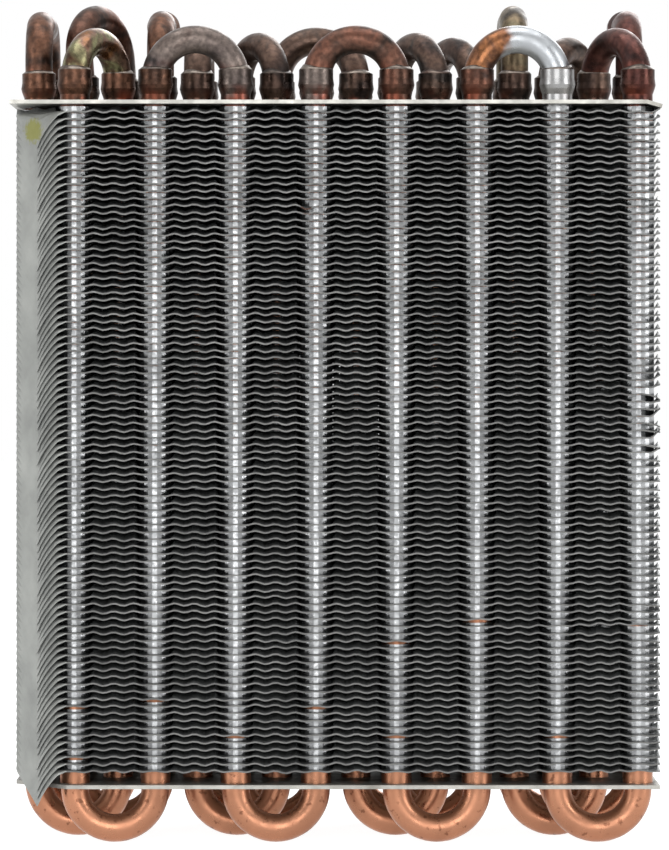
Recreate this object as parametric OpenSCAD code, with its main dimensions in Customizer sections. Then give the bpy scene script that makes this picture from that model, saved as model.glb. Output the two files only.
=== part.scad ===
// Evaporator core: staggered copper tubes carrying a stack of thin aluminium fins between
// two end plates, with hairpin bends below and brazed return bends above.
// Origin at the middle of the footprint, +Z along the tubes, front face towards -Y.

/* [Tube field] */
// Distance between neighbouring tubes of one row
tube_pitch = 25.4; // [22:0.1:30]
// Distance from one row to the next, front to rear
row_pitch = 22; // [19:0.5:28]
// Tubes in each row, an even number
tubes_per_row = 8; // [8]
// Rows, front to rear
row_count = 4; // [4]

/* [Tubes] */
// Outside diameter of a tube after it is expanded into the fins
tube_od = 9.5; // [8:0.1:10.5]
// Outside diameter of the bends, which are not expanded
bend_od = 8.8; // [7.4:0.1:9.2]
// Wall of every tube
tube_wall = 0.5; // [0.3:0.05:0.8]
// Straight tube between the bottom plate and the hairpin's arc
hairpin_drop = 0.5; // [0.2:0.1:6]

/* [Sockets] */
// Height of the tube sockets above the top plate
socket_h = 10; // [8.5:0.5:12]
// Bore of a socket
socket_bore = 10; // [9.4:0.1:11]
// Wall of a socket
socket_wall = 0.4; // [0.3:0.05:0.8]
// Height of the seat inside a socket, on which a bend stands
socket_seat = 4; // [3:0.5:5]
// How far the bulge below the rim stands proud of the socket
bulge = 0.3; // [0.1:0.05:0.6]

/* [Return bends] */
// Straight leg of a plain return bend above the top plate
leg = 6.9; // [6.5:0.1:9]
// Straight leg of the tall crossover bends
tall_leg = 15.7; // [13:0.1:20]
// Straight leg of the crossover at the left end
left_leg = 13.8; // [12:0.1:20]
// Straight leg of the raised bend in the rear row
raised_leg = 11; // [9:0.1:16]
// Straight leg of the bend that leans to the left
leaning_leg = 17.5; // [14:0.1:20]
// Lean of that bend, in degrees
lean = 5; // [0:0.5:5.5]

/* [Fins] */
// Fins in each group
fins_per_group = 4; // [4]
// Groups of fins, bottom to top
group_count = 23; // [23]
// Distance from one fin to the next
fin_pitch = 2.275; // [2:0.025:2.8]
// Thickness of a fin
fin_t = 0.25; // [0.15:0.05:0.4]
// Gap between a fin or plate and the tube that it is pressed on
press_gap = 0.02; // [0.01:0.01:0.06]
// Width of the folded corner along the front edge
fold_w = 17; // [6:0.5:18]
// Depth of the folded corner along the left edge
fold_d = 20; // [6:0.5:22]
// Angle by which the corner is folded down
fold_angle = 78; // [60:1:82]

/* [End plates] */
// Thickness of an end plate
plate_t = 1.2; // [0.8:0.1:2]
// Gap from the bottom plate to the lowest fin
bottom_gap = 4.2; // [3:0.1:8]
// Gap from the highest fin to the top plate
top_gap = 2.4; // [1:0.1:6]
// How far the top plate stands proud of the fins at its left and right ends
plate_margin = 1; // [0:0.5:2]
// Length of the plate end that is bent down at the right
turned_end = 5; // [2:0.5:5.5]
// Angle of that bent end
turned_angle = 16; // [4:1:20]

/* [Hidden] */
$fn = 48;
copper = [0.66, 0.40, 0.28];
tarnished = [0.36, 0.27, 0.22];
aluminium = [0.72, 0.73, 0.72];
steel = [0.66, 0.65, 0.61];

rows = [for (r = [1:row_count]) r];
bend_r = tube_pitch / 2;
width = tubes_per_row * tube_pitch;
depth = row_count * row_pitch;
fin_count = fins_per_group * group_count;
tube_r = tube_od / 2;
bend_tube_r = bend_od / 2;
socket_r = socket_bore / 2 + socket_wall;
// a return bend this much wider than a hairpin has a straight run across its top
run_margin = 1;
// height above the top plate at which a tube starts to widen to its socket
bell_z = 2.2;
// height of the bulge's widest place above the seat, and from there back to the socket's own width
bulge_z = 1.2;
bulge_h = 2;
// length over which the tube of a connection widens to its cup
cup_flare = 2;

// heights, from the lowest point of the hairpins upwards
arc_z = bend_r + bend_tube_r;
bottom_plate_z = arc_z + hairpin_drop;
first_fin_z = bottom_plate_z + plate_t + bottom_gap;
top_plate_z = first_fin_z + (fin_count - 1) * fin_pitch + fin_t + top_gap;
deck_z = top_plate_z + plate_t;

// place of tube k of row r: every second row is set half a pitch to the left
function tube_x(r, k) = -width / 2 + tube_pitch * (k - (r % 2 == 1 ? 1 / 4 : 3 / 4));
function tube_y(r) = -depth / 2 + row_pitch * (r - 1 / 2);
function tube_at(r, k) = [tube_x(r, k), tube_y(r)];
function two_digits(n) = n < 10 ? str("0", n) : str(n);

// return bends: name, the two tube ends as [row, tube], leg and lean
BENDS = [
    ["return_bend_front_a", [1, 2], [1, 3], leg, 0],
    ["return_bend_front_b", [1, 4], [1, 5], leg, 0],
    ["return_bend_front_c", [1, 6], [1, 7], leg, 0],
    ["row_bend_left", [1, 1], [2, 2], leg, 0],
    ["row_bend_right", [1, 8], [2, 8], leg, 0],
    ["row_bend_middle_a", [2, 4], [3, 3], leg, 0],
    ["row_bend_middle_b", [2, 5], [3, 4], leg, 0],
    ["row_bend_middle_c", [2, 6], [3, 5], leg, 0],
    ["row_bend_rear_a", [3, 6], [4, 6], leg, 0],
    ["row_bend_rear_b", [3, 7], [4, 8], leg, 0],
    ["row_bend_rear_leaning", [3, 1], [4, 2], leaning_leg, lean],
    ["return_bend_rear_raised", [4, 4], [4, 5], raised_leg, 0],
    ["crossover_bend_left", [2, 1], [4, 1], left_leg, 0],
    ["crossover_bend_low", [2, 3], [4, 3], leg, 0],
    ["crossover_bend_right", [2, 7], [4, 7], tall_leg, 0]
];

// connections: name and tube end; each turns to the rear
ELBOWS = [
    ["inlet_elbow", [3, 2]],
    ["outlet_elbow", [3, 8]]
];

HAIRPINS = [for (r = rows, n = [1:tubes_per_row / 2]) [str("hairpin_row", r, "_", n), r, 2 * n - 1]];
FIN_GROUPS = [for (g = [1:group_count]) [str("fins_", two_digits(g)), g]];

// section of a tube
module tube_section(r) {
    difference() {
        circle(r = r);
        circle(r = r - tube_wall);
    }
}

// straight piece of tube, upwards from the origin
module pipe(r, length) {
    linear_extrude(length)
        tube_section(r);
}

// arc of tube of radius turn_r: it leaves the origin upwards and turns by the angle towards +X
module pipe_arc(r, turn_r, angle) {
    translate([turn_r, 0, 0])
        rotate([90, 0, 0])
            rotate_extrude(angle = angle, start = 180 - angle)
                translate([turn_r, 0])
                    tube_section(r);
}

// U of tube from the origin over to [span, 0]; a wide one has a straight run across the top
module pipe_bend(span, straight) {
    run = span - 2 * bend_r;
    wide = run > run_margin;
    turn_r = wide ? bend_r : span / 2;
    for (x = [0, span])
        translate([x, 0, 0])
            pipe(bend_tube_r, straight);
    translate([0, 0, straight])
        pipe_arc(bend_tube_r, turn_r, wide ? 90 : 180);
    if (wide) {
        translate([span, 0, straight])
            rotate([0, 0, 180])
                pipe_arc(bend_tube_r, bend_r, 90);
        translate([bend_r, 0, straight + bend_r])
            rotate([0, 90, 0])
                pipe(bend_tube_r, run);
    }
}

// return bend from tube end a to tube end b, standing on the seats of their sockets
module return_bend(a, b, straight, tilt) {
    bearing = atan2(b.y - a.y, b.x - a.x);
    lift = bend_tube_r * sin(tilt);
    translate([a.x, a.y, deck_z + socket_seat + lift])
        rotate([0, 0, bearing])
            rotate([-tilt, 0, 0])
                pipe_bend(norm(b - a), straight - socket_seat - lift);
}

// connection: an elbow that rises from tube end a, turns to the rear edge and ends in a cup
module connection_elbow(a) {
    reach = depth / 2 - a.y;
    cup = socket_h - socket_seat;
    translate([a.x, a.y, deck_z])
        rotate([0, 0, 90]) {
            translate([0, 0, socket_seat])
                pipe(bend_tube_r, tall_leg - socket_seat);
            translate([0, 0, tall_leg])
                pipe_arc(bend_tube_r, bend_r, 90);
            translate([bend_r, 0, tall_leg + bend_r])
                rotate([0, 90, 0])
                    rotate_extrude()
                        cup_outline(reach - bend_r, cup);
        }
}

// half section of a straight tube end that is belled out to a cup at its mouth
module cup_outline(length, cup) {
    polygon([
        [bend_tube_r - tube_wall, 0],
        [bend_tube_r, 0],
        [bend_tube_r, length - cup - cup_flare],
        [socket_r, length - cup],
        [socket_r, length],
        [socket_bore / 2, length],
        [socket_bore / 2, length - cup],
        [bend_tube_r - tube_wall, length - cup]
    ]);
}

// half section of a straight tube from the hairpin's arc up to the rim of its socket
module straight_outline() {
    deck = deck_z - arc_z;
    seat = deck + socket_seat;
    rim = deck + socket_h;
    polygon([
        [bend_tube_r - tube_wall, 0],
        [bend_tube_r, 0],
        [tube_r, hairpin_drop],
        [tube_r, deck + bell_z],
        [socket_r, seat],
        [socket_r + bulge, seat + bulge_z],
        [socket_r, seat + bulge_z + bulge_h],
        [socket_r, rim],
        [socket_bore / 2, rim],
        [socket_bore / 2, seat],
        [tube_r - tube_wall, seat],
        [tube_r - tube_wall, hairpin_drop]
    ]);
}

// hairpin: two straight tubes and the arc that joins them below the bottom plate
module hairpin(a) {
    color(copper)
        translate([a.x, a.y, arc_z]) {
            for (x = [0, tube_pitch])
                translate([x, 0, 0])
                    rotate_extrude()
                        straight_outline();
            mirror([0, 0, 1])
                pipe_arc(bend_tube_r, bend_r, 180);
        }
}

// the holes of a fin or plate
module tube_holes() {
    for (r = rows, k = [1:tubes_per_row])
        translate(tube_at(r, k))
            circle(r = tube_r + press_gap);
}

// a fin without its folded corner
module fin_outline() {
    x0 = -width / 2;
    y0 = -depth / 2;
    polygon([
        [x0 + fold_w, y0],
        [-x0, y0],
        [-x0, -y0],
        [x0, -y0],
        [x0, y0 + fold_d]
    ]);
}

// the corner, turned down about the line that the fold follows
module folded_corner() {
    fold_l = norm([fold_w, fold_d]);
    foot = fold_w * fold_w / fold_l;
    height = fold_w * fold_d / fold_l;
    translate([-width / 2 + fold_w, -depth / 2, fin_t])
        rotate([0, 0, atan2(fold_d, -fold_w)])
            rotate([-fold_angle, 0, 0])
                translate([0, 0, -fin_t])
                    linear_extrude(fin_t)
                        polygon([[0, 0], [foot, height], [fold_l, 0]]);
}

module fin() {
    linear_extrude(fin_t)
        difference() {
            fin_outline();
            tube_holes();
        }
    folded_corner();
}

module fin_group(g) {
    color(aluminium)
        for (i = [0:fins_per_group - 1])
            translate([0, 0, first_fin_z + ((g - 1) * fins_per_group + i) * fin_pitch])
                fin();
}

module bottom_end_plate() {
    color(steel)
        translate([0, 0, bottom_plate_z])
            linear_extrude(plate_t)
                difference() {
                    fin_outline();
                    tube_holes();
                }
}

// section of the top plate along a row: flat, with its right end turned down
module top_plate_section() {
    left = -width / 2 - plate_margin;
    turn = [width / 2 + plate_margin - turned_end, plate_t];
    tip = turn + turned_end * [cos(turned_angle), -sin(turned_angle)];
    polygon([
        [left, 0],
        [turn.x - plate_t * tan(turned_angle / 2), 0],
        tip - plate_t * [sin(turned_angle), cos(turned_angle)],
        tip,
        turn,
        [left, plate_t]
    ]);
}

module top_end_plate() {
    color(steel)
        translate([0, 0, top_plate_z])
            difference() {
                translate([0, depth / 2, 0])
                    rotate([90, 0, 0])
                        linear_extrude(depth)
                            top_plate_section();
                translate([0, 0, -turned_end])
                    linear_extrude(2 * turned_end + plate_t)
                        tube_holes();
            }
}

bottom_end_plate();
top_end_plate();
for (h = HAIRPINS)
    hairpin(tube_at(h[1], h[2]));
for (b = BENDS)
    color(tarnished)
            return_bend(tube_at(b[1][0], b[1][1]), tube_at(b[2][0], b[2][1]), b[3], b[4]);
for (e = ELBOWS)
    color(tarnished)
            connection_elbow(tube_at(e[1][0], e[1][1]));
for (f = FIN_GROUPS)
    fin_group(f[1]);
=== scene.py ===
"""Evaporator core: the looks of the fins, tubes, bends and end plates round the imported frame.

Lengths are in metres in the frame's own axes: Z along the tubes, the front face towards -Y.
"""

import bpy
import numpy as np
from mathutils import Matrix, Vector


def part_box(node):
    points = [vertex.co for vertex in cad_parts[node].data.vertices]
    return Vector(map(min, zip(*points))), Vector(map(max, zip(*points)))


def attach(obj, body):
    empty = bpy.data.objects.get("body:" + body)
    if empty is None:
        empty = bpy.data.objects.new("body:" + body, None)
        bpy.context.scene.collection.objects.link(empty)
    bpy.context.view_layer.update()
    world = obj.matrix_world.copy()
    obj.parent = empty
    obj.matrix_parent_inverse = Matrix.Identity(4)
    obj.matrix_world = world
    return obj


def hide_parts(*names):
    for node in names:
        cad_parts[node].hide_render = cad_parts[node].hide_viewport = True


bl_info = {
    "name": "Evaporator core",
    "version": (1, 0, 0),
    "blender": (4, 5, 0),
    "location": "3D View > Sidebar > Core",
    "description": "Builds the fins, tube finishes, braze and end plates of an evaporator core",
    "category": "Object",
}

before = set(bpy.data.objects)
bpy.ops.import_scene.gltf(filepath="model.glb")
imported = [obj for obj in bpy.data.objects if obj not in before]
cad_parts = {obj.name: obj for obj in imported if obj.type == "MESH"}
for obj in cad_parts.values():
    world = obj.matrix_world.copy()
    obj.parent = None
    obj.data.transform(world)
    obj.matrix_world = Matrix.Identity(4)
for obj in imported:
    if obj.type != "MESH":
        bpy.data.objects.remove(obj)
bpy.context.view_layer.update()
BODY = "root"

ROWS = (1, 2, 3, 4)
TUBES = np.arange(1, 9)
# the rims of the sockets, and the deck they stand on, which is the upper face of the top plate
SOCKET_H = 0.010
RIM_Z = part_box("hairpin_row1_1")[1].z
DECK_Z = RIM_Z - SOCKET_H


class CoreSizes(bpy.types.PropertyGroup):
    """Sizes of the core that its makers choose."""
    tube_pitch: bpy.props.FloatProperty(
        name="Tube pitch", description="Distance between the tubes of one row",
        default=0.0254, min=0.02, max=0.03, unit="LENGTH")
    row_pitch: bpy.props.FloatProperty(
        name="Row pitch", description="Distance from one row to the next",
        default=0.022, min=0.018, max=0.028, unit="LENGTH")
    fin_pitch: bpy.props.FloatProperty(
        name="Fin pitch", description="Distance from one fin to the next",
        default=0.002275, min=0.002, max=0.003, unit="LENGTH")
    fin_t: bpy.props.FloatProperty(
        name="Fin thickness", description="Thickness of a fin",
        default=0.00025, min=0.0001, max=0.0005, unit="LENGTH")
    tube_d: bpy.props.FloatProperty(
        name="Tube diameter", description="Outside diameter of an expanded tube",
        default=0.0095, min=0.008, max=0.011, unit="LENGTH")
    collar_wall: bpy.props.FloatProperty(
        name="Collar wall", description="Wall of the collar round each hole of a fin",
        default=0.00045, min=0.0002, max=0.001, unit="LENGTH")
    collar_gap: bpy.props.FloatProperty(
        name="Collar gap", description="Gap between a collar and the fin above it",
        default=0.00012, min=0.00005, max=0.001, unit="LENGTH")
    ripple: bpy.props.FloatProperty(
        name="Ripple", description="Half the height of the ripples of a fin",
        default=0.00036, min=0.0, max=0.001, unit="LENGTH")
    ripples: bpy.props.IntProperty(
        name="Ripples", description="Ripples from one tube to the next", default=4, min=1, max=8)
    edge_t: bpy.props.FloatProperty(
        name="Edge thickness", description="Thickness of a fin at its burred front and rear edge",
        default=0.00048, min=0.0001, max=0.001, unit="LENGTH")
    deep_wave: bpy.props.FloatProperty(
        name="Deep wave", description="Rise and fall of a fin from one row to the next, between the tubes",
        default=0.0015, min=0.0, max=0.0016, unit="LENGTH")
    fold_w: bpy.props.FloatProperty(
        name="Fold width", description="Width of the folded corner along the front edge",
        default=0.017, min=0.006, max=0.018, unit="LENGTH")
    fold_d: bpy.props.FloatProperty(
        name="Fold depth", description="Depth of the folded corner along the left edge",
        default=0.020, min=0.006, max=0.022, unit="LENGTH")
    fold_bend: bpy.props.FloatProperty(
        name="Fold radius", description="Radius of the bend along the fold",
        default=0.0022, min=0.0005, max=0.005, unit="LENGTH")
    fold_angle: bpy.props.FloatProperty(
        name="Fold angle", description="Angle by which the corner hangs down",
        default=np.radians(78.0), min=0.5, max=1.5, subtype="ANGLE")
    flat_turn: bpy.props.FloatProperty(
        name="Flat turn", description="How much further its left half is pressed down",
        default=np.radians(6.0), min=0.0, max=0.2, subtype="ANGLE")
    camera_distance: bpy.props.FloatProperty(
        name="Camera distance", description="From the camera to the front row of tubes",
        default=1.5, min=0.6, max=4.0, unit="LENGTH")
    eye_height: bpy.props.FloatProperty(
        name="Eye height", description="Height of the camera above the floor",
        default=0.15, min=0.0, max=0.5, unit="LENGTH")


def colour_property(name, description, default):
    """A colour that the sidebar shows, in linear light."""
    return bpy.props.FloatVectorProperty(
        name=name, description=description, default=default, size=3, min=0.0, max=1.0,
        subtype="COLOR")


class CoreColours(bpy.types.PropertyGroup):
    """Base colours of the core's finishes."""
    fin_face: colour_property("Fin face", "Aluminium deep between the fins", (0.30, 0.31, 0.31))
    fin_edge: colour_property("Fin edge", "Cut edge of a fin", (0.145, 0.145, 0.14))
    collar: colour_property("Collar", "Collars round the tubes", (0.50, 0.51, 0.52))
    copper: colour_property("Copper", "Clean copper of the hairpins", (0.47, 0.215, 0.125))
    steel: colour_property("End plate", "Galvanised end plate", (0.50, 0.49, 0.45))
    floor: colour_property("Floor", "Pale floor", (0.80, 0.80, 0.80))


def sizes():
    """The sizes that the sidebar shows."""
    return bpy.context.scene.core_sizes


def colours():
    """The colours that the sidebar shows."""
    return bpy.context.scene.core_colours


def tube_x(row, tube):
    """Middle of a tube: odd rows start a quarter of a pitch before their tube, even rows three."""
    width = len(TUBES) * sizes().tube_pitch
    return -width / 2 + sizes().tube_pitch * (tube - np.where(np.mod(row, 2) == 1, 0.25, 0.75))


def tube_y(row):
    """Middle of a row: the rows stand one row pitch apart, even about the middle of the depth."""
    return sizes().row_pitch * (row - (len(ROWS) + 1) / 2)


def smoothstep(low, high, value):
    """0 at low, 1 at high, and the cubic 3t^2 - 2t^3 between them. With low above high it falls."""
    t = np.clip((value - low) / (high - low), 0.0, 1.0)
    return t * t * (3 - 2 * t)


def bell(value, middle, width):
    """The bell curve exp(-((v - middle) / width)^2)."""
    return np.exp(-((value - middle) / width) ** 2)


def mesh_object(name, points, quads, materials, picks=None, smooth=True):
    """An object from whole arrays: points (n, 3), quads (m, 4) and a material for each quad."""
    mesh = bpy.data.meshes.new(name)
    mesh.vertices.add(len(points))
    mesh.vertices.foreach_set("co", np.ascontiguousarray(points, np.float32).ravel())
    mesh.loops.add(quads.size)
    mesh.loops.foreach_set("vertex_index", quads.ravel().astype(np.int32))
    mesh.polygons.add(len(quads))
    mesh.polygons.foreach_set("loop_start", np.arange(0, quads.size, 4, dtype=np.int32))
    for material in materials:
        mesh.materials.append(material)
    if picks is not None:
        mesh.polygons.foreach_set("material_index", picks.astype(np.int32))
    mesh.update(calc_edges=True)
    mesh.validate()
    mesh.polygons.foreach_set("use_smooth", np.full(len(mesh.polygons), smooth))
    made = bpy.data.objects.new(name, mesh)
    bpy.context.scene.collection.objects.link(made)
    return made


# Shader nodes

def plug(tree, socket, value):
    """Gives an input a plain value, or links another node's output to it."""
    if isinstance(value, bpy.types.NodeSocket):
        tree.links.new(value, socket)
    else:
        socket.default_value = value


def add_node(tree, kind, inputs=None, **settings):
    """A node of that kind with its settings, and its inputs set or linked."""
    made = tree.nodes.new(kind)
    for name, value in settings.items():
        setattr(made, name, value)
    for name, value in (inputs or {}).items():
        plug(tree, made.inputs[name], value)
    return made


def mix(tree, factor, a, b, blend="MIX"):
    """Colour between two colours or outputs. A Mix node keeps its colour inputs at places 6 and 7."""
    inputs = {0: factor, 6: a, 7: b}
    return add_node(tree, "ShaderNodeMix", inputs, data_type="RGBA", blend_type=blend).outputs[2]


def ramp(tree, factor, stops):
    """Colour output of a ColorRamp through the stops, each a place and a colour."""
    made = add_node(tree, "ShaderNodeValToRGB", {"Fac": factor})
    elements = made.color_ramp.elements
    while len(elements) < len(stops):
        elements.new(1.0)
    for element, (place, colour) in zip(elements, stops):
        element.position = place
        element.color = colour
    return made.outputs["Color"]


def step(tree, value, low, high, to_low=0.0, to_high=1.0):
    """Smooth step of a value from to_low at low to to_high at high."""
    return add_node(
        tree, "ShaderNodeMapRange",
        {"Value": value, "From Min": low, "From Max": high, "To Min": to_low, "To Max": to_high},
        interpolation_type="SMOOTHSTEP").outputs["Result"]


def maths(tree, operation, a, b):
    """Output of a Math node on two numbers or outputs."""
    return add_node(tree, "ShaderNodeMath", {0: a, 1: b}, operation=operation).outputs[0]


def hexed(code):
    """A linear RGBA colour from the six digits of its screen colour."""
    screen = np.array([int(code[i:i + 2], 16) for i in (0, 2, 4)]) / 255
    linear = np.where(screen > 0.04045, ((screen + 0.055) / 1.055) ** 2.4, screen / 12.92)
    return (*linear, 1.0)


def rgba(colour, scale=1.0):
    """A linear RGBA colour from its three parts, darkened or lightened by the scale."""
    return (*(np.array(colour) * scale), 1.0)


class Finish:
    """A material with its Principled shader, its object coordinates and their X, Y and Z."""

    def __init__(self, name, metallic, roughness):
        self.material = bpy.data.materials.new(name)
        self.material.use_nodes = True
        self.tree = self.material.node_tree
        self.shader = self.tree.nodes["Principled BSDF"]
        self.set("Metallic", metallic)
        self.set("Roughness", roughness)
        self.where = self.tree.nodes.new("ShaderNodeTexCoord").outputs["Object"]
        self.x, self.y, self.z = add_node(
            self.tree, "ShaderNodeSeparateXYZ", {"Vector": self.where}).outputs

    def set(self, name, value):
        plug(self.tree, self.shader.inputs[name], value)

    def noise(self, scale, detail=3.0, distortion=0.0):
        """Soft noise over the piece."""
        inputs = {"Vector": self.where, "Scale": scale, "Detail": detail, "Distortion": distortion}
        return add_node(self.tree, "ShaderNodeTexNoise", inputs).outputs[0]

    def patchy(self, scale, detail, low, high):
        """Roughness that wanders between low and high."""
        self.set("Roughness", step(self.tree, self.noise(scale, detail), 0.3, 0.7, low, high))

    def bump(self, height, strength, distance=0.0002):
        made = add_node(
            self.tree, "ShaderNodeBump",
            {"Height": height, "Strength": strength, "Distance": distance})
        self.set("Normal", made.outputs["Normal"])

    def spot(self, x, z, width, height):
        """1 inside an oval spot of the front view, 0 outside, with a ragged rim."""
        tree = self.tree
        shifted = add_node(
            tree, "ShaderNodeMapping",
            {"Vector": self.where, "Location": (-x / width, 0, -z / height),
             "Scale": (1 / width, 0, 1 / height)}).outputs["Vector"]
        far = add_node(tree, "ShaderNodeVectorMath", {0: shifted}, operation="LENGTH").outputs["Value"]
        return step(tree, maths(tree, "ADD", far, self.noise(900, 2)), 1.1, 1.6, 1.0, 0.0)


# Finishes

# spots in the front view: middle x, middle z, half width and half height
RUST_SPOT = (-0.0095, 0.2, 0.0018, 0.0022)
STAIN_SPOT = (-0.0955, 0.2245, 0.0034, 0.0042)


def fin_face_finish():
    """Dull aluminium deep between the fins, darker and dustier in patches."""
    made = Finish("fin_face_aluminium", 0.75, 0.45)
    made.set("Base Color", ramp(made.tree, made.noise(60, 4), [
        (0.3, rgba(colours().fin_face, 0.7)), (0.7, rgba(colours().fin_face))]))
    made.patchy(500, 2, 0.38, 0.55)
    made.bump(made.noise(1500, 2), 0.15)
    return made.material


def fin_edge_finish():
    """Cut edges: dull and bright stretches, and one small spot of rust."""
    made = Finish("fin_edge_aluminium", 0.55, 0.42)
    patches = ramp(made.tree, made.noise(45, 4), [
        (0.32, rgba(colours().fin_edge, 0.62)), (0.62, rgba(colours().fin_edge, 1.1))])
    made.set("Base Color", mix(made.tree, made.spot(*RUST_SPOT), patches, hexed("3a2318")))
    made.patchy(700, 2, 0.34, 0.52)
    return made.material


def collar_finish():
    """Bright drawn aluminium of the collars, with a little tarnish."""
    made = Finish("collar_aluminium", 1.0, 0.3)
    made.set("Base Color", ramp(made.tree, made.noise(80, 4), [
        (0.25, rgba(colours().collar, 0.62)), (0.6, rgba(colours().collar))]))
    made.patchy(900, 3, 0.24, 0.42)
    return made.material


def flap_finish():
    """The crushed corner: matt grey aluminium with a yellow-green stain near the top."""
    made = Finish("folded_aluminium", 0.5, 0.5)
    patches = ramp(made.tree, made.noise(70, 4), [
        (0.3, hexed("939592")), (0.7, hexed("aeb0ac"))])
    made.set("Base Color", mix(made.tree, made.spot(*STAIN_SPOT), patches, hexed("8f8f55")))
    made.patchy(400, 3, 0.42, 0.6)
    made.bump(made.noise(600, 3), 0.2)
    return made.material


def plate_finish(name, light):
    """Galvanised sheet: warm grey with a soft spangle, dirt and a slightly uneven face."""
    made = Finish(name, 0.7, 0.42)
    tree = made.tree
    spangle = add_node(
        tree, "ShaderNodeTexVoronoi", {"Vector": made.where, "Scale": 160.0}).outputs["Distance"]
    zinc = ramp(tree, spangle, [
        (0.1, rgba(colours().steel, light)), (0.8, rgba(colours().steel, light * 0.72))])
    dirt = step(tree, made.noise(50, 5), 0.52, 0.72, 0.0, 0.7)
    made.set("Base Color", mix(tree, dirt, zinc, hexed("4c4438")))
    made.patchy(350, 3, 0.34, 0.55)
    made.bump(made.noise(800, 3), 0.15)
    return made.material


# screen colours of heated copper, from the low to the high end of its noise
PALETTES = {
    "dark_brown": ("2b2422", "4a3a33", "5d4a40", "3a3532"),
    "grey_brown": ("35302f", "5a504c", "6d625c", "4a3b36"),
    "rusty_brown": ("2f2520", "523a30", "674538", "3c2e29"),
    "dark_red": ("2e2120", "4f302b", "5e3e36", "392d2b"),
    "rainbow": ("33241d", "7a5230", "6e5548", "7c7a5a", "4a3024"),
    "copper_brown": ("2e2420", "523a2e", "694939", "3e2f28"),
    "bright_copper": ("35271f", "664431", "8a5b3b", "4c352a"),
    "olive_brown": ("2e2c26", "55503f", "6a5c48", "3c352e"),
    "braze": ("3d3632", "5f5650", "776e66", "4a3b35"),
}
CLOUD_SCALE = 75.0
SPECKS_SCALE = 675.0
# the glow of copper oxide at a bend's feet ends over this height on either side of the rims, and at a
# socket's foot over this stretch above the deck
BEND_GLOW = (-0.004, 0.004)
SOCKET_GLOW = (0.002, 0.006)
# the tubes are clean below the top plate: the tarnish starts over this stretch under the deck
TARNISH_START = (-0.003, -0.002)
# how raggedly the solder begins on a bend, and over which lengths it begins on a bend and ends on a socket
SOLDER_RAG = 0.012
SOLDER_FADE = 0.004
SOCKET_SOLDER_FADE = 0.001
# painted shade: the sockets catch the front lamp more than the bends, so their palette is darkened by this
# share
SOCKET_SHADE = 0.7


def tarnish(made, palette):
    """Colour of heated, tarnished copper: a palette run through by soft noise, with fine specks."""
    places = np.linspace(0.32, 0.68, len(PALETTES[palette]))
    stops = [(float(place), hexed(code)) for place, code in zip(places, PALETTES[palette])]
    colour = ramp(made.tree, made.noise(CLOUD_SCALE, 5, 0.6), stops)
    specks = ramp(made.tree, made.noise(SPECKS_SCALE, 3), [
        (0.35, (0.55, 0.55, 0.55, 1)), (0.6, (1.1, 1.1, 1.1, 1))])
    return mix(made.tree, 0.8, colour, specks, "MULTIPLY")


def oxide(made, low, high, most):
    """Share of red oxide: full below the height low, none above high, in patches up to the most."""
    below = step(made.tree, made.z, low, high, 1.0, 0.0)
    return maths(made.tree, "MULTIPLY", below, step(made.tree, made.noise(110, 3), 0.42, 0.62, 0.0, most))


def bend_finish(name, palette, roughness, feet, solder_x=None):
    """Finish of a bend: its palette, the red glow of copper oxide at its feet, and solder past solder_x."""
    made = Finish(name, 0.85, roughness)
    tree = made.tree
    glow = oxide(made, RIM_Z + BEND_GLOW[0], RIM_Z + BEND_GLOW[1], feet)
    colour = mix(tree, glow, tarnish(made, palette), hexed("733626"))
    if solder_x is not None:
        ragged = maths(tree, "ADD", made.x, maths(tree, "MULTIPLY", made.noise(140, 4), SOLDER_RAG))
        solder = step(tree, ragged, solder_x, solder_x + SOLDER_FADE)
        colour = mix(tree, solder, colour, hexed("a2a5a8"))
    made.set("Base Color", colour)
    made.patchy(260, 4, roughness - 0.08, roughness + 0.16)
    made.bump(made.noise(500, 4), 0.35)
    return made.material


def tube_finish(name, palette, feet, solder_x=None):
    """Finish of a hairpin: clean copper below the deck, the tarnish of brazing on its sockets, darkened by
    painted shade, and solder on the socket to the left of solder_x."""
    made = Finish(name, 0.92, 0.3)
    tree = made.tree
    clean = ramp(tree, made.noise(55, 4, 0.5), [
        (0.3, rgba(colours().copper, 0.72)), (0.65, rgba(colours().copper))])
    flecks = step(tree, made.noise(420, 3), 0.62, 0.70, 0.0, 0.6)
    clean = mix(tree, flecks, clean, hexed("5a3322"))
    # painted shade: the sockets' tarnish is multiplied by SOCKET_SHADE, so that they look less lit by the
    # front lamp
    burnt_and_shaded = mix(tree, 1.0, tarnish(made, palette), rgba((1, 1, 1), SOCKET_SHADE), "MULTIPLY")
    glow = oxide(made, DECK_Z + SOCKET_GLOW[0], DECK_Z + SOCKET_GLOW[1], feet)
    burnt_and_shaded = mix(tree, glow, burnt_and_shaded, hexed("7a3a28"))
    if solder_x is not None:
        solder = step(tree, made.x, solder_x - SOCKET_SOLDER_FADE, solder_x, 0.85, 0.0)
        burnt_and_shaded = mix(tree, solder, burnt_and_shaded, hexed("9a9b9b"))
    above = step(tree, made.z, DECK_Z + TARNISH_START[0], DECK_Z + TARNISH_START[1])
    made.set("Base Color", mix(tree, above, clean, burnt_and_shaded))
    made.patchy(300, 4, 0.24, 0.42)
    made.bump(made.noise(380, 4), 0.25)
    return made.material


# Fins

FINS_PER_GROUP, GROUPS = 4, 23
FIN_SEED = 1000
# places of a fin's materials
FACE, EDGE, COLLAR, FLAP = range(4)

# the grid: its lines from front to rear, and its steps across a hole, along the fold and out from it
LINES = 2 * len(ROWS) + 2
FRONT, REAR = 0, LINES - 1
HOLE_STEPS = 11
FOLD_STEPS = 8
FLAP_STEPS = 7
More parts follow.
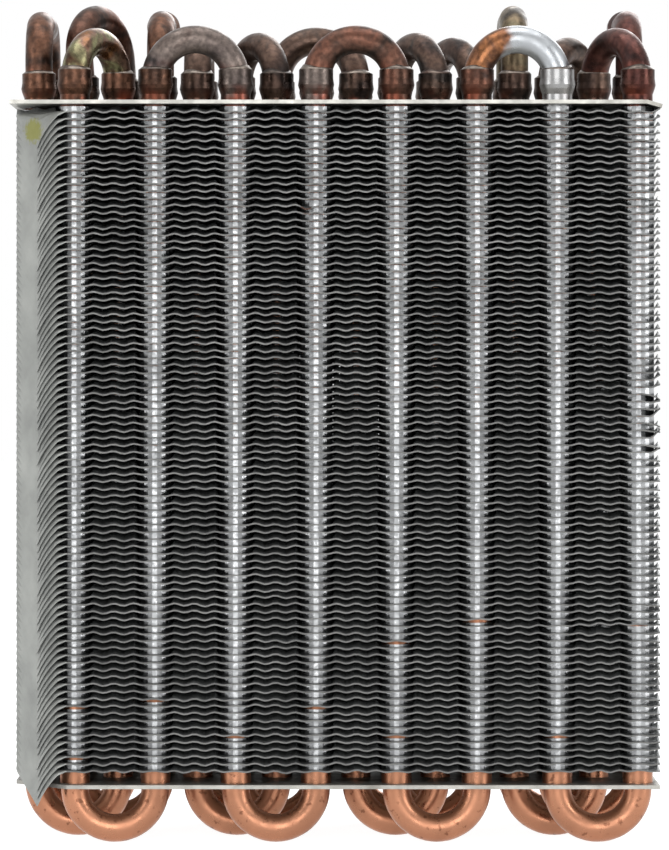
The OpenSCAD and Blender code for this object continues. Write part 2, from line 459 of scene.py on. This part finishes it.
# columns near the right-hand end, by their distance from it, and how near two columns may come
END_COLUMNS = (0.003, 0.0018, 0.0009, 0.0)
LEAST_COLUMN = 0.00008
# a column this near to the side of a hole counts as outside it
HOLE_MARGIN = 0.00002
# how far behind the front edge the lines stay where the fold cuts into them
FRONT_MARGIN = 0.003

# the front and rear edge ripple less at a tube: by this share, over this half width
CALM_SHARE, CALM_WIDTH = 0.6, 0.0042
# the ripples grow to their full height over this distance from a collar
COLLAR_FLAT = 0.0016
# the front edge's ripples begin over this stretch past the end of the fold
FOLD_CALM = (-0.001, 0.006)
# how the ripples' height varies from fin to fin, and the lengths and height of the slow waves along a fin
RIPPLE_SPREAD = (0.85, 1.12)
SLOW_LENGTHS = (0.061, 0.034, 0.017)
SLOW_HEIGHT = 0.00006

# bent places of the front edge: middle x, middle z, half width, half height and lift
DENTS = (
    (-0.0765, 0.2087, 0.008, 0.0007, 0.0011),
    (-0.0735, 0.1905, 0.007, 0.0007, 0.0012),
    (-0.0090, 0.2005, 0.002, 0.0010, -0.0009),
    (0.0870, 0.0690, 0.016, 0.0008, 0.0009),
    (0.0930, 0.0240, 0.012, 0.0009, 0.0007),
    (-0.0400, 0.0455, 0.030, 0.0006, -0.0004),
    (0.0330, 0.1500, 0.012, 0.0007, 0.0006),
)
# y over which a dent grows towards the front
DENT_Y = (-0.036, -0.043)

# the right-hand end curls from this x on, over this length. The curl grows towards the front over these y,
# and behind them this share of it is left
CURL_X, CURL_LENGTH, CURL_POWER = 0.0982, 0.0034, 1.5
CURL_Y = (-0.020, -0.042)
CURL_BEHIND = 0.2
CURL_MEAN, CURL_SPREAD, MOST_CURL = -0.00025, 0.00028, 0.0021
# the torn part of that end: heights over which it begins, ends, and begins again below the top plate
TORN_FROM, TORN_TO, TORN_AGAIN = (0.108, 0.118), (0.152, 0.146), (0.218, 0.224)
TORN_SPREAD = 0.0013

# the folded corner: the least width of its flap, and the spread of its angle from fin to fin
LEAST_REACH = 0.00006
ANGLE_SPREAD = 0.015
# shares of the way along the fold, from its front end to its point nearest to the corner: where the flat
# half begins, where it is flat, and where the lifted half ends
FLAT_FROM, FLAT_AT, LIFT_TO = 0.7, 1.05, 0.9
LIFT_ANGLE = 0.32
# the flat half thins out towards its free edge by this share
FLAP_TAPER = 0.9

# a collar narrows by this much towards its lip, and its lip clears the tube by this much
COLLAR_TAPER = 0.00004
LIP_CLEARANCE = 0.00008
# collars that stop short, so that the copper shows: row, tube and fin, counted from 1
SHORT_COLLARS = (
    (1, 1, 2), (1, 1, 9), (1, 2, 10), (1, 3, 5), (1, 4, 9), (1, 5, 5), (1, 5, 18), (1, 6, 21), (1, 7, 5))
SHORT_COLLAR_H = 0.0007


def fin_columns():
    """x of the grid's columns: even angles across every hole, the crest half way between two holes, even
    steps along the fold, and a few near the right-hand end."""
    s = sizes()
    radius = s.tube_d / 2 + s.collar_wall
    middles = np.sort(np.concatenate([tube_x(1, TUBES), tube_x(2, TUBES)]))
    across = middles[:, None] - radius * np.cos(np.linspace(0, np.pi, HOLE_STEPS + 1))
    between = (middles[1:] + middles[:-1]) / 2
    half = len(TUBES) * s.tube_pitch / 2
    fold = np.linspace(-half, -half + s.fold_w, FOLD_STEPS + 1)
    x = np.concatenate([across.ravel(), between, fold, half - np.array(END_COLUMNS)])
    x = np.unique(np.round(x[np.abs(x) < half + 1e-9], 6))
    apart = np.concatenate([[True], np.diff(x) > LEAST_COLUMN])
    return x[apart], radius


class FinPlan:
    """The fin's grid in plan. Its lines run from left to right: the front edge, the front and rear half of
    every row's holes, and the rear edge. Between two holes both halves are one line. The corner beyond the
    fold is a grid of its own: lines parallel to the fold, from the fold out to the free edge."""

    def __init__(self):
        s = sizes()
        self.x, self.radius = fin_columns()
        x, radius = self.x, self.radius
        shape = (LINES, len(x))
        fold_end = x[0] + s.fold_w
        front = -len(ROWS) * s.row_pitch / 2
        index = np.arange(LINES * len(x)).reshape(shape)
        y = np.zeros(shape)
        y[FRONT] = front + np.clip((fold_end - x) / s.fold_w, 0, 1) * s.fold_d
        y[REAR] = -front
        ripple = np.ones(shape)
        for edge, row in ((FRONT, ROWS[0]), (REAR, ROWS[-1])):
            ripple[edge] -= CALM_SHARE * sum(bell(x, middle, CALM_WIDTH) for middle in tube_x(row, TUBES))
        ripple[FRONT] *= smoothstep(fold_end + FOLD_CALM[0], fold_end + FOLD_CALM[1], x)
        deep = np.zeros(shape)
        for row in ROWS:
            line, next_line = 2 * row - 1, 2 * row
            away = np.abs(x[None] - tube_x(row, TUBES)[:, None]).min(0)
            inside = away < radius - HOLE_MARGIN
            half = np.sqrt(np.clip(radius ** 2 - away ** 2, 0, None)) * inside
            middle = np.maximum(tube_y(row), y[FRONT] + FRONT_MARGIN * ~inside)
            y[line] = middle - half
            y[next_line] = middle + half
            index[next_line] = np.where(inside, index[next_line], index[line])
            ripple[line:next_line + 1] = smoothstep(radius, radius + COLLAR_FLAT, away)
            clear = np.clip((away - radius) / (s.tube_pitch / 4 - radius), 0, 1)
            deep[line:next_line + 1] = s.deep_wave * clear * (1 if row % 2 else -1)
        thick = np.full(shape, s.fin_t)
        thick[[FRONT, REAR]] = s.edge_t
        self.index = index
        self.xy = np.stack([np.broadcast_to(x, shape), y], -1).reshape(-1, 2)
        self.ripple, self.deep, self.thick = ripple.ravel(), deep.ravel(), thick.ravel()
        self.quads = np.concatenate([
            np.stack([index[i, :-1], index[i, 1:], index[i + 1, 1:], index[i + 1, :-1]], -1)
            for i in range(0, LINES, 2)])

    def row(self, points):
        """Row of the hole on whose rim each point lies."""
        return (points // len(self.x) - 1) // 2 + 1

    def round_hole(self, edges):
        """True for the edges round a hole, which run along a line between the front and the rear one."""
        line, column = np.divmod(edges, len(self.x))
        return (line[:, 0] > FRONT) & (line[:, 0] < REAR) & (column[:, 0] != column[:, 1])


def flap_grid(plan, angles):
    """The folded corner: points, normals, quads and thickness. A point is the fold's point, plus the reach
    along the outward normal, less the drop: on the bend the reach is R sin a and the drop R (1 - cos a), and
    past it the flap runs straight on. Its width is that of the triangle between the fold and the corner."""
    s = sizes()
    fold_end, front = plan.x[0] + s.fold_w, -len(ROWS) * s.row_pitch / 2
    columns = np.nonzero(plan.x <= fold_end + 1e-7)[0]
    share = (fold_end - plan.x[columns]) / s.fold_w
    length = np.hypot(s.fold_w, s.fold_d)
    outward = np.array([-s.fold_d, -s.fold_w]) / length
    foot = s.fold_w ** 2 / length ** 2
    tall = s.fold_w * s.fold_d / length
    reach = tall * np.minimum(share / foot, (1 - share) / (1 - foot)) + LEAST_REACH
    along = np.linspace(0, 1, FLAP_STEPS + 1)[1:, None]
    flat = smoothstep(FLAT_FROM * foot, FLAT_AT * foot, share)
    lift = LIFT_ANGLE * (1 - smoothstep(0, LIFT_TO * foot, share))
    full = angles[:, None, None] + (s.flat_turn * flat - lift)
    turn = np.minimum(along * reach / s.fold_bend, full)
    rest = np.maximum(along * reach - s.fold_bend * full, 0)
    out = s.fold_bend * np.sin(turn) + rest * np.cos(turn)
    drop = s.fold_bend * (1 - np.cos(turn)) + rest * np.sin(turn)
    points = np.stack([
        fold_end - share * s.fold_w + outward[0] * out,
        front + share * s.fold_d + outward[1] * out,
        -drop], -1)
    normals = np.stack([outward[0] * np.sin(turn), outward[1] * np.sin(turn), np.cos(turn)], -1)
    thick = s.fin_t * (1 - FLAP_TAPER * flat * along ** 2)
    own = plan.index.size + np.arange(thick.size).reshape(thick.shape)
    grid = np.concatenate([plan.index[FRONT][columns][None], own])
    quads = np.stack([grid[1:, :-1], grid[1:, 1:], grid[:-1, 1:], grid[:-1, :-1]], -1).reshape(-1, 4)
    shape = (len(angles), -1, 3)
    return points.reshape(shape), normals.reshape(shape), quads, thick.ravel()


def open_edges(quads):
    """The directed edges that only one quad uses."""
    edges = np.stack([quads, np.roll(quads, -1, axis=1)], -1).reshape(-1, 2)
    size = quads.max() + 1
    forward = edges[:, 0] * size + edges[:, 1]
    return edges[~np.isin(forward, edges[:, 1] * size + edges[:, 0])]


def wall(edges, upper, lower):
    """Quads from the upper to the lower copy of each directed edge."""
    a, b = edges[:, 0], edges[:, 1]
    return np.stack([upper[b], upper[a], lower[a], lower[b]], -1)


def fin_heights(plan, middles, rng):
    """Height of the sheet of every fin: middle + ripple * cos(2 pi n x / pitch) + the deep wave + a slow wave
    + dents at the front + the curl of the right-hand end."""
    s = sizes()
    x, y = plan.xy.T
    count = len(middles)
    wave = plan.ripple * s.ripple * np.cos(2 * np.pi * s.ripples * (x - tube_x(2, 1)) / s.tube_pitch)
    phase = rng.uniform(0, 2 * np.pi, (count, len(SLOW_LENGTHS)))
    slow = sum(
        np.sin(2 * np.pi * x[None] / length + phase[:, i:i + 1])
        for i, length in enumerate(SLOW_LENGTHS))
    front = smoothstep(*DENT_Y, y)
    z = middles[:, None] + plan.deep + wave * rng.uniform(*RIPPLE_SPREAD, (count, 1))
    z = z + SLOW_HEIGHT * slow * plan.ripple * (0.4 + front)
    for place, height, width, tall, lift in DENTS:
        z = z + lift * bell(x, place, width) * front * bell(middles, height, tall)[:, None]
    torn = smoothstep(*TORN_FROM, middles) * smoothstep(*TORN_TO, middles)
    torn = torn + 0.5 * smoothstep(*TORN_AGAIN, middles)
    curl = rng.normal(CURL_MEAN, CURL_SPREAD, count) + torn * rng.normal(0.0, TORN_SPREAD, count)
    curl = np.clip(curl, -MOST_CURL, MOST_CURL)
    end = np.clip((x - CURL_X) / CURL_LENGTH, 0, 1) ** CURL_POWER
    near = smoothstep(*CURL_Y, y) * (1 - CURL_BEHIND) + CURL_BEHIND
    return z + curl[:, None] * end * near


def collar_lips(plan, rim, upper, numbers):
    """The outer and the inner lip of the collars above the points of the holes' rims. A lip is the rim drawn
    in towards the tube, at the mean height of its fin's rims plus the height of the collar."""
    s = sizes()
    row = plan.row(rim)
    places = np.array([tube_x(r, TUBES) for r in ROWS])
    tube = np.abs(places[row - 1] - plan.xy[rim, :1]).argmin(1) + 1
    centre = np.stack([tube_x(row, tube), tube_y(row)], -1)
    away = (plan.xy[rim] - centre) / plan.radius
    tall = np.full((len(numbers), len(rim)), s.fin_pitch - s.fin_t - s.collar_gap)
    for short_row, short_tube, number in SHORT_COLLARS:
        short = (row == short_row) & (tube == short_tube)
        tall[np.ix_(numbers == number, short)] = SHORT_COLLAR_H
    z = upper[:, rim, 2].mean(1, keepdims=True) + tall
    lips = []
    for radius in (plan.radius - COLLAR_TAPER, plan.radius - s.collar_wall + LIP_CLEARANCE):
        xy = np.broadcast_to(centre + away * radius, (*z.shape, 2))
        lips.append(np.concatenate([xy, z[..., None]], -1))
    return lips


def fin_mesh(group, plan, materials):
    """Four fins as closed shells: the sheet's upper and lower skin, a rim round it and a collar round each
    hole. The collars of the inner rows have no lip, because it would be out of sight."""
    s = sizes()
    numbers = np.arange(1, FINS_PER_GROUP + 1) + (group - 1) * FINS_PER_GROUP
    rng = np.random.default_rng(FIN_SEED + group)
    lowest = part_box(f"fins_{group:02d}")[1].z - (FINS_PER_GROUP - 1) * s.fin_pitch - s.fin_t / 2
    middles = lowest + np.arange(FINS_PER_GROUP) * s.fin_pitch
    angles = s.fold_angle + rng.normal(0, ANGLE_SPREAD, FINS_PER_GROUP)
    flap, flap_normals, flap_quads, flap_thick = flap_grid(plan, angles)
    flap[..., 2] += middles[:, None]
    heights = fin_heights(plan, middles, rng)
    flat = np.concatenate([
        np.broadcast_to(plan.xy, (*heights.shape, 2)), heights[..., None]], -1)
    points = np.concatenate([flat, flap], 1)
    normals = np.concatenate([np.broadcast_to([0.0, 0.0, 1.0], flat.shape), flap_normals], 1)
    half = np.concatenate([plan.thick, flap_thick])[None, :, None] / 2
    upper = points + normals * half
    lower = points - normals * half

    quads = np.concatenate([plan.quads, flap_quads])
    edges = open_edges(quads)
    hole = plan.round_hole(edges)
    outline, rings = edges[~hole], edges[hole]
    on_flap = (outline >= plan.index.size).any(1)
    outer_row = np.isin(plan.row(rings[:, 0]), (ROWS[0], ROWS[-1]))
    rim = np.unique(rings)
    total = points.shape[1]
    up = np.arange(total)
    down = up + total
    lip_out = np.zeros(total, int)
    lip_out[rim] = 2 * total + np.arange(len(rim))
    lip_in = lip_out + len(rim)
    parts = [
        (plan.quads, FACE), (flap_quads, FLAP), (quads[:, ::-1] + total, FACE),
        (wall(outline[~on_flap], up, down), EDGE), (wall(outline[on_flap], up, down), FLAP),
        (wall(rings, up, lip_out), COLLAR), (wall(rings[outer_row], lip_out, lip_in), COLLAR),
        (wall(rings[outer_row], lip_in, down), COLLAR), (wall(rings[~outer_row], lip_out, down), COLLAR)]
    faces = np.concatenate([quads for quads, _ in parts])
    picks = np.concatenate([np.full(len(quads), pick) for quads, pick in parts])
    used, inverse = np.unique(faces, return_inverse=True)
    faces = inverse.reshape(faces.shape)
    vertices = np.concatenate([upper, lower, *collar_lips(plan, rim, upper, numbers)], 1)[:, used]
    first = vertices.shape[1] * np.arange(FINS_PER_GROUP)
    return mesh_object(
        f"fin_pack_{group:02d}", vertices.reshape(-1, 3), (faces + first[:, None, None]).reshape(-1, 4),
        materials, np.tile(picks, FINS_PER_GROUP), smooth=False)


class CORE_OT_fins(bpy.types.Operator):
    """Build the rippled fins with their collars and crushed corner"""
    bl_idname = "core.fins"
    bl_label = "Fins"

    def execute(self, context):
        materials = [fin_face_finish(), fin_edge_finish(), collar_finish(), flap_finish()]
        plan = FinPlan()
        for group in range(1, GROUPS + 1):
            pack = fin_mesh(group, plan, materials)
            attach(pack, BODY)
            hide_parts(f"fins_{group:02d}")
        return {"FINISHED"}


# Tubes, bends, braze and end plates

# hairpins by row and number: palette, glow at the sockets' feet, and where the solder on a socket ends
HAIRPIN_LOOKS = {
    (1, 1): ("copper_brown", 0.4, None),
    (1, 2): ("grey_brown", 0.6, None),
    (1, 3): ("rusty_brown", 0.4, None),
    (1, 4): ("dark_red", 0.5, 0.08),
    (2, 1): ("copper_brown", 0.7, None),
}
PLAIN_HAIRPIN = ("dark_brown", 0.35, None)
# bends: palette, roughness, glow at the feet, and where solder begins
BEND_LOOKS = {
    "row_bend_left": ("rainbow", 0.22, 0.5, None),
    "return_bend_front_a": ("grey_brown", 0.36, 0.9, None),
    "return_bend_front_b": ("rusty_brown", 0.38, 0.5, None),
    "return_bend_front_c": ("bright_copper", 0.30, 0.3, 0.0575),
    "row_bend_right": ("dark_red", 0.34, 0.9, None),
    "crossover_bend_left": ("copper_brown", 0.38, 0.9, None),
    "row_bend_rear_leaning": ("rusty_brown", 0.36, 0.5, None),
    "inlet_elbow": ("copper_brown", 0.38, 0.5, None),
    "outlet_elbow": ("dark_red", 0.38, 0.5, None),
    "crossover_bend_right": ("olive_brown", 0.36, 0.4, None),
}
PLAIN_BENDS = (
    "row_bend_middle_a", "row_bend_middle_b", "row_bend_middle_c", "row_bend_rear_a", "row_bend_rear_b",
    "return_bend_rear_raised", "crossover_bend_low")

BRAZE_STEPS = 24
BRAZE_SEED = 11
# section of a braze fillet: radius, and height above the socket's rim
BRAZE_SECTION = np.array([
    (0.0043, -0.0004), (0.0053, -0.0002), (0.0052, 0.0002), (0.0047, 0.0006), (0.0043, 0.0011)])


def dress(name, material):
    """Gives a node of the frame its finish."""
    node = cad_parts[name]
    node.data.materials.clear()
    node.data.materials.append(material)


class CORE_OT_tubes(bpy.types.Operator):
    """Finish the hairpin tubes and their sockets"""
    bl_idname = "core.tubes"
    bl_label = "Hairpins"

    def execute(self, context):
        for row in ROWS:
            for pair in range(1, len(TUBES) // 2 + 1):
                name = f"hairpin_row{row}_{pair}"
                look = HAIRPIN_LOOKS.get((row, pair), PLAIN_HAIRPIN)
                dress(name, tube_finish(f"{name}_copper", *look))
        return {"FINISHED"}


class CORE_OT_bends(bpy.types.Operator):
    """Finish the return bends, crossovers and elbows"""
    bl_idname = "core.bends"
    bl_label = "Bends"

    def execute(self, context):
        for name, look in BEND_LOOKS.items():
            dress(name, bend_finish(f"{name}_tarnish", *look))
        plain = bend_finish("rear_bend_tarnish", "dark_brown", 0.4, 0.3)
        for name in PLAIN_BENDS:
            dress(name, plain)
        return {"FINISHED"}


def braze_ring(middle, rng):
    """A fillet round a tube where it enters its socket: a closed section swept round the tube, whose height
    above the rim is scaled by 1 + a few waves of the angle, so that it runs up unevenly."""
    around = np.linspace(0, 2 * np.pi, BRAZE_STEPS, endpoint=False)[:, None]
    swell = 1 + sum(rng.uniform(0.08, 0.25) * np.sin(k * around + rng.uniform(0, 6)) for k in (1, 2, 3))
    radius, height = BRAZE_SECTION.T
    z = RIM_Z + np.maximum(height, 0) * swell + np.minimum(height, 0)
    points = np.stack([middle[0] + radius * np.cos(around), middle[1] + radius * np.sin(around), z], -1)
    index = np.arange(z.size).reshape(z.shape)
    across = np.roll(index, -1, axis=1)
    quads = np.stack([index, np.roll(index, -1, axis=0), np.roll(across, -1, axis=0), across], -1)
    return points.reshape(-1, 3), quads.reshape(-1, 4)


class CORE_OT_braze(bpy.types.Operator):
    """Build the braze fillets at the rims of the sockets"""
    bl_idname = "core.braze"
    bl_label = "Braze"

    def execute(self, context):
        rng = np.random.default_rng(BRAZE_SEED)
        made = Finish("braze_filler", 0.9, 0.36)
        made.set("Base Color", tarnish(made, "braze"))
        made.bump(made.noise(700, 3), 0.3)
        for row in ROWS:
            rings = [braze_ring((tube_x(row, tube), tube_y(row)), rng) for tube in TUBES]
            points = np.concatenate([ring_points for ring_points, _ in rings])
            quads = np.concatenate([
                ring_quads + number * len(ring_points)
                for number, (ring_points, ring_quads) in enumerate(rings)])
            ring = mesh_object(f"braze_row{row}", points, quads, [made.material])
            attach(ring, BODY)
        return {"FINISHED"}


class CORE_OT_plates(bpy.types.Operator):
    """Finish the two end plates"""
    bl_idname = "core.plates"
    bl_label = "End plates"

    def execute(self, context):
        dress("top_end_plate", plate_finish("top_plate_zinc", 1.0))
        dress("bottom_end_plate", plate_finish("bottom_plate_zinc", 0.9))
        return {"FINISHED"}


# Stage

FLOOR_HALF = 6.0
# what the camera sees of the floor: its own glow, and how much of the light and shadow on it
FLOOR_GLOW, FLOOR_SHADE = 0.93, 0.4
WORLD_LIGHT = 0.28
# soft boxes: name, place, power in watts, width and height
LAMPS = (
    ("front_box", (-0.1, -1.8, 0.3), 13, 1.0, 1.5),
    ("right_box", (1.3, -0.8, 0.4), 12, 0.5, 1.4),
    ("left_box", (-1.4, -0.8, 0.4), 7, 0.5, 1.4),
    ("top_box", (0, -0.1, 1.5), 12, 1.4, 1.0),
    ("rear_box", (0.4, 1.3, 0.9), 8, 0.9, 0.9),
)
# the photograph's height in pixels, and its pixels to a metre in the plane of the front tubes
IMAGE_H = 850
PIXEL_SCALE = 3165.0
SENSOR_W = 36.0
SHIFT_X, SHIFT_Y = -0.002, -0.0682


def seen_directly(tree):
    """1 for rays of the camera, of gloss and of glass, 0 for the rays that carry light."""
    path = tree.nodes.new("ShaderNodeLightPath")
    seen = path.outputs["Is Camera Ray"]
    for name in ("Is Glossy Ray", "Is Transmission Ray"):
        seen = maths(tree, "MAXIMUM", seen, path.outputs[name])
    return seen


def floor_material():
    """Pale floor that looks white to the camera and to gloss, and keeps the object's shadow."""
    material = bpy.data.materials.new("pale_floor")
    material.use_nodes = True
    tree = material.node_tree
    tree.nodes.clear()
    diffuse = add_node(tree, "ShaderNodeBsdfDiffuse", {"Color": rgba(colours().floor)}).outputs["BSDF"]
    shade = add_node(tree, "ShaderNodeBsdfDiffuse", {"Color": rgba((1, 1, 1), FLOOR_SHADE)}).outputs["BSDF"]
    glow = add_node(tree, "ShaderNodeEmission", {"Color": rgba((1, 1, 1), FLOOR_GLOW)}).outputs["Emission"]
    white = add_node(tree, "ShaderNodeAddShader", {0: shade, 1: glow}).outputs[0]
    pick = add_node(tree, "ShaderNodeMixShader", {0: seen_directly(tree), 1: diffuse, 2: white})
    add_node(tree, "ShaderNodeOutputMaterial", {"Surface": pick.outputs[0]})
    return material


def pale_world():
    """World that lights softly and is white to the camera, to gloss and through glass."""
    world = bpy.data.worlds.new("studio")
    bpy.context.scene.world = world
    world.use_nodes = True
    tree = world.node_tree
    tree.nodes.clear()
    dim, white = [
        add_node(tree, "ShaderNodeBackground", {"Color": (1, 1, 1, 1), "Strength": strength}).outputs[0]
        for strength in (WORLD_LIGHT, 1.0)]
    pick = add_node(tree, "ShaderNodeMixShader", {0: seen_directly(tree), 1: dim, 2: white})
    add_node(tree, "ShaderNodeOutputWorld", {"Surface": pick.outputs[0]})


def lamp(name, place, power, width, height, aim):
    """A soft box at a place, turned to its aim."""
    data = bpy.data.lights.new(name, "AREA")
    data.shape = "RECTANGLE"
    data.energy = power
    data.size = width
    data.size_y = height
    made = bpy.data.objects.new(name, data)
    made.location = place
    direction = np.array(aim) - np.array(place)
    made.rotation_euler = Vector(direction).to_track_quat("-Z", "Y").to_euler()
    bpy.context.scene.collection.objects.link(made)


def front_camera():
    """A level camera in front of the core, with the photograph's scale in the plane of the front tubes."""
    s = sizes()
    data = bpy.data.cameras.new("camera")
    data.sensor_width = SENSOR_W
    data.lens = PIXEL_SCALE * s.camera_distance * SENSOR_W / IMAGE_H
    data.shift_x = SHIFT_X
    data.shift_y = SHIFT_Y
    camera = bpy.data.objects.new("camera", data)
    camera.location = (0, tube_y(1) - s.camera_distance, s.eye_height)
    camera.rotation_euler = (np.pi / 2, 0, 0)
    bpy.context.scene.collection.objects.link(camera)
    bpy.context.scene.camera = camera


class CORE_OT_stage(bpy.types.Operator):
    """Build the floor, the lamps and the camera"""
    bl_idname = "core.stage"
    bl_label = "Stage"

    def execute(self, context):
        corners = FLOOR_HALF * np.array([[-1, -1, 0], [1, -1, 0], [1, 1, 0], [-1, 1, 0]])
        floor = mesh_object("floor", corners, np.array([[0, 1, 2, 3]]), [floor_material()])
        pale_world()
        for soft_box in LAMPS:
            lamp(*soft_box, aim=(0, 0, sizes().eye_height))
        front_camera()
        bpy.context.scene.view_settings.view_transform = "Standard"
        return {"FINISHED"}


class CORE_PT_panel(bpy.types.Panel):
    """Sidebar panel with the sizes, the colours and a button for each group of pieces"""
    bl_label = "Evaporator core"
    bl_space_type = "VIEW_3D"
    bl_region_type = "UI"
    bl_category = "Core"

    def draw(self, context):
        for group in (context.scene.core_sizes, context.scene.core_colours):
            for name in group.__annotations__:
                self.layout.prop(group, name)
        for operator in OPERATORS:
            self.layout.operator(operator.bl_idname)


OPERATORS = (CORE_OT_fins, CORE_OT_tubes, CORE_OT_bends, CORE_OT_braze, CORE_OT_plates, CORE_OT_stage)
CLASSES = (CoreSizes, CoreColours, *OPERATORS, CORE_PT_panel)


def register():
    for cls in CLASSES:
        bpy.utils.register_class(cls)
    bpy.types.Scene.core_sizes = bpy.props.PointerProperty(type=CoreSizes)
    bpy.types.Scene.core_colours = bpy.props.PointerProperty(type=CoreColours)


def unregister():
    del bpy.types.Scene.core_sizes
    del bpy.types.Scene.core_colours
    for cls in reversed(CLASSES):
        bpy.utils.unregister_class(cls)


def main():
    register()
    bpy.ops.core.fins()
    bpy.ops.core.tubes()
    bpy.ops.core.bends()
    bpy.ops.core.braze()
    bpy.ops.core.plates()
    bpy.ops.core.stage()


if __name__ == "__main__":
    main()
